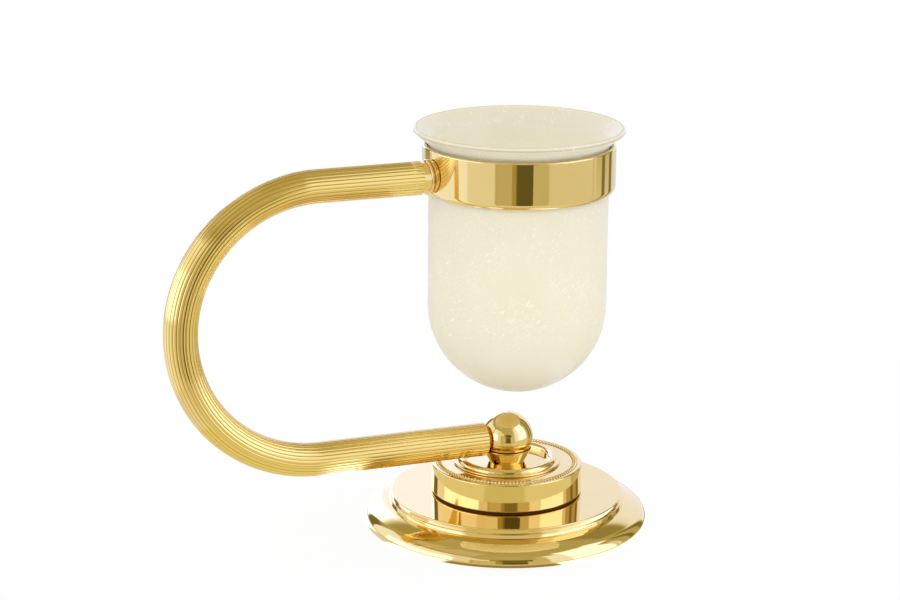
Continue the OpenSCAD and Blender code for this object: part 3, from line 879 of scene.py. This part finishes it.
class HOLDER_OT_hidden(bpy.types.Operator):
    """Give the pad, the ballast, the plug and the fasteners their finishes."""
    bl_idname = "tumbler_holder.hidden"
    bl_label = "Hidden pieces"

    def execute(self, context):
        finish = settings().finish
        # Zinc-plated steel: bright grey with a fine even grain
        steel = plain_finish("Zinc-plated steel", finish.steel, 1.0, 0.25, 0.4, 900.0, 0.00002)
        # Cast iron: dark, with sand grain of about 1 mm
        iron = plain_finish("Cast iron", finish.iron, 0.6, 0.6, 0.8, 700.0, 0.0002)
        # Moulded rubber: nearly black and matt, with a pebbled skin
        rubber = plain_finish("Rubber pad", finish.pad, 0.0, 0.75, 0.9, 1500.0, 0.0001)
        finishes = {
            "foot_pad": rubber, "ballast": iron, "tie_bolt": steel, "flat_washer": steel,
            "spring_washer": steel, "arm_stud": steel, "ring_screw": steel, "arm_plug": polished_brass(),
        }
        for node, material in finishes.items():
            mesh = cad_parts[node].data
            mesh.materials.clear()
            mesh.materials.append(material)
        return {"FINISHED"}


# Stage

# What polished metal mirrors, as panels of a white tent: azimuth from and to, elevation from and to, level.
# Azimuth 0 faces the camera and grows to its right. Later panels lie over earlier ones.
PANELS = (
    (-180, 180, -90, -38, 0.85),
    (-180, 180, -38, -5, 0.76),
    (-125, -62, -38, -5, 1.00),
    (-62, -26, -38, -5, 0.84),
    (-26, -7, -27, -5, 0.57),
    (-7, 36, -27, -5, 0.60),
    (-180, 180, -5, 33, 0.88),
    (-130, -45, -5, 38, 1.02),
    (-45, -30, -5, 38, 0.86),
    (-108, -42, -4, 20, 1.60),
    (-125, -30, 46, 74, 0.60),
    (-27, -7, -5, 20, 0.62),
    (-7, 36, -5, 50, 0.62),
    (36, 54, -5, 50, 1.00),
    (54, 97, -5, 60, 1.40),
    (60, 120, 44, 58, 1.30),
    (104, 143, -10, 40, 0.50),
    (115, 122, -40, 40, 0.22),
    (133, 141, -40, 40, 0.22),
    (98, 99, -40, 40, 0.50),
    (-146, -130, -10, 34, 0.45),
    (-146, -130, -10, 25, 0.20),
    (-27, -26, -40, 20, 0.30),
    (-180, -166, -5, 30, 1.08),
    (-166, -146, -5, 30, 1.50),
    (144, 180, -5, 28, 0.95),
    (-180, -150, 34, 46, 0.40),
    (150, 180, 32, 46, 0.32),
    (-24, 28, 28, 62, 0.52),
)
# What metal mirrors on the table near the foot: azimuth from and to, distance from and to, level
TABLE = (
    (-180, 180, 0.0, 1.0, 0.80),
    (-180, 180, 0.0, 0.068, 2.00),
    (-78, -57, 0.0, 1.0, 0.80),
    (100, 160, 0.075, 1.0, 0.55),
    (-28, 24, 0.066, 1.0, 0.68),
    (-26, 23, 0.0, 0.066, 0.34),
)
TABLE_INNER = 0.02
TABLE_LIFT = 0.0001
TABLE_SOFTNESS = 0.006
# Past this distance the table takes a golden light from the brass, and loses these shares of green and blue
GOLD_FROM = 0.07
GOLD_GREEN = 0.03
GOLD_BLUE = 0.32
# The dark camera on its stand in front of the table: from and to across it, height from and to, level
STAND = (
    (-1.0, 1.0, -1.0, 1.0, 0.40),
    (-0.5, 1.0, 0.14, 0.20, 0.10),
    (-0.6, 1.0, -1.0, 0.14, 0.24),
    (-0.6, 1.0, -1.0, 0.09, 0.13),
)
STAND_FOOT = -0.08
STAND_HEIGHT = 0.32
STAND_RIGHT = 0.035
STAND_SOFTNESS = 0.01
STAND_SIDE_SOFTNESS = 0.02
HEAD_FROM = 0.14
HEAD_HALF = 0.12
LEGS_HALF = 0.085
TENT_RADIUS = 3.0
TENT_SOFTNESS = 4
FLOOR_REACH = 6.0
LAMP_AIM = 0.08
# The colour of the cloth follows its level: neutral at one level, cooler above it and warmer below it
NEUTRAL = 0.78
COOL_SPAN = 0.48
WARMEST = -0.85
COOL_GREEN = 0.15
COOL_BLUE = 0.8


def stage_point(right, back, up):
    """A point about the centre of the foot, as the camera sees it: to its right, away from it and up."""
    cosine = math.cos(settings().studio.turn)
    sine = math.sin(settings().studio.turn)
    return Vector((right * cosine + back * sine, back * cosine - right * sine, up))


def stage_ring(away, azimuth, up):
    """A point at a distance from the foot's axis, at an azimuth in degrees."""
    angle = math.radians(azimuth)
    return stage_point(away * math.sin(angle), -away * math.cos(angle), up)


def soft_step(value, edge, width):
    share = min(max((value - edge) / width + 0.5, 0), 1)
    return share * share * (3 - 2 * share)


def cloth(panels, azimuth, height, softness, start, side=3):
    """The light of a set of panels in one place. Bright cloth looks cooler than dim cloth, as in a photo."""
    level = start
    for left, right, low, high, panel in panels:
        cover = soft_step(height, low, softness) * (1 - soft_step(height, high, softness))
        if left > panels[0][0]:
            cover *= soft_step(azimuth, left, side)
        if right < panels[0][1]:
            cover *= 1 - soft_step(azimuth, right, side)
        level += (panel - level) * cover
    cool = min(max((level - NEUTRAL) / COOL_SPAN, WARMEST), 1)
    return level, level * (1 + COOL_GREEN * cool), level * (1 + COOL_BLUE * cool), 1


class HOLDER_OT_stage(bpy.types.Operator):
    """Make the floor, the light and the camera."""
    bl_idname = "tumbler_holder.stage"
    bl_label = "Stage"

    def execute(self, context):
        self.camera(context)
        self.world(context)
        self.tent()
        self.floor()
        self.lamps()
        context.scene.view_settings.view_transform = "Standard"
        return {"FINISHED"}

    def camera(self, context):
        studio = settings().studio
        data = bpy.data.cameras.new("Camera")
        data.sensor_width = 36
        data.lens = studio.lens
        camera = bpy.data.objects.new("Camera", data)
        context.scene.collection.objects.link(camera)
        away = studio.distance * math.cos(studio.rise)
        ahead = stage_point(math.sin(studio.yaw) * math.cos(studio.pitch),
                            math.cos(studio.yaw) * math.cos(studio.pitch), -math.sin(studio.pitch))
        right = ahead.cross(Vector((0, 0, 1))).normalized()
        up = right.cross(ahead)
        roll_right = right * math.cos(studio.roll) + up * math.sin(studio.roll)
        roll_up = up * math.cos(studio.roll) - right * math.sin(studio.roll)
        matrix = Matrix((roll_right, roll_up, -ahead)).transposed().to_4x4()
        matrix.translation = stage_point(0, -away, studio.distance * math.sin(studio.rise))
        camera.matrix_world = matrix
        context.scene.camera = camera

    def world(self, context):
        """White for the camera and in reflections, and an even fill on matt surfaces."""
        world = bpy.data.worlds.new("Studio")
        context.scene.world = world
        world.use_nodes = True
        tree = world.node_tree
        tree.nodes.clear()
        rays = add(tree, "ShaderNodeLightPath")
        shown = rays.outputs["Is Camera Ray"]
        for kind in ("Is Glossy Ray", "Is Transmission Ray"):
            either = add(tree, "ShaderNodeMath", {0: shown, 1: rays.outputs[kind]}, operation="MAXIMUM")
            shown = either.outputs[0]
        white = add(tree, "ShaderNodeBackground", {"Color": (1, 1, 1, 1), "Strength": 1.0})
        fill = add(tree, "ShaderNodeBackground", {"Color": (1, 1, 1, 1), "Strength": settings().studio.fill})
        mix = add(tree, "ShaderNodeMixShader", {0: shown, 1: fill.outputs[0], 2: white.outputs[0]})
        add(tree, "ShaderNodeOutputWorld", {"Surface": mix.outputs[0]})

    def mirrored(self, name, rows, columns, place):
        """A glowing sheet that only mirrors see. Its place gives a point and a colour for a row and azimuth."""
        points = []
        colours = []
        for row in range(rows + 1):
            for column in range(columns + 1):
                point, colour = place(row / rows, -180 + 360 * column / columns)
                points.append(point)
                colours.extend(colour)
        wide = columns + 1
        faces = [(r * wide + c, r * wide + c + 1, (r + 1) * wide + c + 1, (r + 1) * wide + c)
                 for r in range(rows) for c in range(columns)]
        mesh = bpy.data.meshes.new(name)
        mesh.from_pydata(points, [], faces)
        mesh.color_attributes.new("glow", "FLOAT_COLOR", "POINT").data.foreach_set("color", colours)
        material = bpy.data.materials.new(name)
        material.use_nodes = True
        tree = material.node_tree
        tree.nodes.clear()
        level = add(tree, "ShaderNodeAttribute", attribute_name="glow")
        light = add(tree, "ShaderNodeEmission", {"Color": level.outputs["Color"], "Strength": 1.0})
        add(tree, "ShaderNodeOutputMaterial", {"Surface": light.outputs[0]})
        mesh.materials.append(material)
        sheet = bpy.data.objects.new(name, mesh)
        bpy.context.scene.collection.objects.link(sheet)
        sheet.visible_camera = False
        sheet.visible_diffuse = False
        sheet.visible_shadow = False
        sheet.visible_transmission = False
        sheet.visible_volume_scatter = False

    def tent(self):
        """A dome of white cloth round the holder, and the table near its foot, as the metal mirrors them."""
        studio = settings().studio

        def dome(share, azimuth):
            elevation = -90 + 180 * share
            tilt = math.radians(elevation)
            point = TENT_RADIUS * stage_ring(math.cos(tilt), azimuth, math.sin(tilt))
            return point, cloth(PANELS, azimuth, elevation, TENT_SOFTNESS, studio.ceiling)

        def table(share, azimuth):
            away = TABLE_INNER + (studio.table - TABLE_INNER) * share
            red, green, blue, alpha = cloth(TABLE, azimuth, away, TABLE_SOFTNESS, TABLE[0][-1])
            gold = soft_step(away, GOLD_FROM, TABLE_SOFTNESS)
            tinted = (red, green * (1 - GOLD_GREEN * gold), blue * (1 - GOLD_BLUE * gold), alpha)
            return stage_ring(away, azimuth, TABLE_LIFT), tinted

        def stand(share, azimuth):
            across = azimuth / 180
            height = STAND_FOOT + STAND_HEIGHT * share
            half = HEAD_HALF if height > HEAD_FROM else LEGS_HALF
            level = cloth(STAND, across, height, STAND_SOFTNESS, STAND[0][-1], STAND_SIDE_SOFTNESS)
            return stage_point(STAND_RIGHT + half * across, -studio.stand, height), level

        self.mirrored("Tent", 120, 240, dome)
        self.mirrored("Table", 40, 180, table)
        self.mirrored("Stand", 49, 12, stand)

    def floor(self):
        """White for the camera, with the faint shadow of the piece near its foot."""
        studio = settings().studio
        mesh = bpy.data.meshes.new("Floor")
        far = FLOOR_REACH
        mesh.from_pydata([(-far, -far, 0), (far, -far, 0), (far, far, 0), (-far, far, 0)], [], [(0, 1, 2, 3)])
        floor = bpy.data.objects.new("Floor", mesh)
        bpy.context.scene.collection.objects.link(floor)
        material = bpy.data.materials.new("Pale floor")
        material.use_nodes = True
        tree = material.node_tree
        tree.nodes.clear()
        rays = add(tree, "ShaderNodeLightPath")
        place = add(tree, "ShaderNodeTexCoord").outputs["Object"]
        away = add(tree, "ShaderNodeVectorMath", {0: place}, operation="LENGTH")
        even = add(tree, "ShaderNodeMapRange", {"Value": away.outputs["Value"], "From Min": studio.shade_near,
                                                "From Max": studio.shade_far, "To Min": studio.shade_white})
        paint = add(tree, "ShaderNodeBsdfDiffuse", {"Color": (0.95, 0.95, 0.95, 1)})
        white = add(tree, "ShaderNodeEmission", {"Color": (1, 1, 1, 1), "Strength": 1.0})
        share = add(tree, "ShaderNodeMath", {0: rays.outputs["Is Camera Ray"], 1: even.outputs[0]},
                    operation="MULTIPLY")
        mix = add(tree, "ShaderNodeMixShader", {0: share.outputs[0], 1: paint.outputs[0],
                                                2: white.outputs[0]})
        add(tree, "ShaderNodeOutputMaterial", {"Surface": mix.outputs[0]})
        mesh.materials.append(material)
        floor.visible_glossy = False

    def lamps(self):
        """Two low soft boxes in front, and a lamp for the light that the wall of the glass lets through."""
        studio = settings().studio
        for name, side in (("Left box", -1), ("Right box", 1)):
            data = bpy.data.lights.new(name, "AREA")
            data.shape = "SQUARE"
            data.size = studio.box_size
            data.energy = studio.box_power
            place = stage_point(side * studio.box_away, -studio.box_away, studio.box_height)
            self.put_lamp(name, data, place)
        data = bpy.data.lights.new("Inner glow", "POINT")
        data.shadow_soft_size = studio.glow_size
        data.energy = studio.glow
        data.color = studio.glow_tint
        self.put_lamp("Inner glow", data, Vector((settings().tumbler.axis_x, 0, studio.glow_height)))

    def put_lamp(self, name, data, place):
        lamp = bpy.data.objects.new(name, data)
        bpy.context.scene.collection.objects.link(lamp)
        lamp.location = place
        lamp.visible_glossy = False
        aim = Vector((0, 0, LAMP_AIM)) - place
        lamp.rotation_euler = aim.to_track_quat("-Z", "Y").to_euler()


OPERATORS = (HOLDER_OT_base, HOLDER_OT_drum, HOLDER_OT_beads, HOLDER_OT_post, HOLDER_OT_arm, HOLDER_OT_ring,
             HOLDER_OT_tumbler, HOLDER_OT_hidden, HOLDER_OT_stage)


class HOLDER_PT_panel(bpy.types.Panel):
    """Lists the steps and the settings."""
    bl_idname = "HOLDER_PT_panel"
    bl_label = "Tumbler and holder"
    bl_space_type = "VIEW_3D"
    bl_region_type = "UI"
    bl_category = "Tumbler"

    def draw(self, context):
        for step in OPERATORS:
            self.layout.operator(step.bl_idname)
        whole = context.scene.tumbler_holder
        for part in ("tumbler", "ring", "arm", "post", "drum", "base", "finish", "studio"):
            group = getattr(whole, part)
            box = self.layout.box()
            box.label(text=part.title())
            for key in group.__annotations__:
                box.prop(group, key)


CLASSES = GROUPS + (HolderSettings,) + OPERATORS + (HOLDER_PT_panel,)


def register():
    for item in CLASSES:
        bpy.utils.register_class(item)
    bpy.types.Scene.tumbler_holder = PointerProperty(type=HolderSettings)


def unregister():
    del bpy.types.Scene.tumbler_holder
    for item in reversed(CLASSES):
        bpy.utils.unregister_class(item)


def main():
    register()
    for step in ("base", "drum", "beads", "post", "arm", "ring", "tumbler", "hidden", "stage"):
        getattr(bpy.ops.tumbler_holder, step)()


if __name__ == "__main__":
    main()
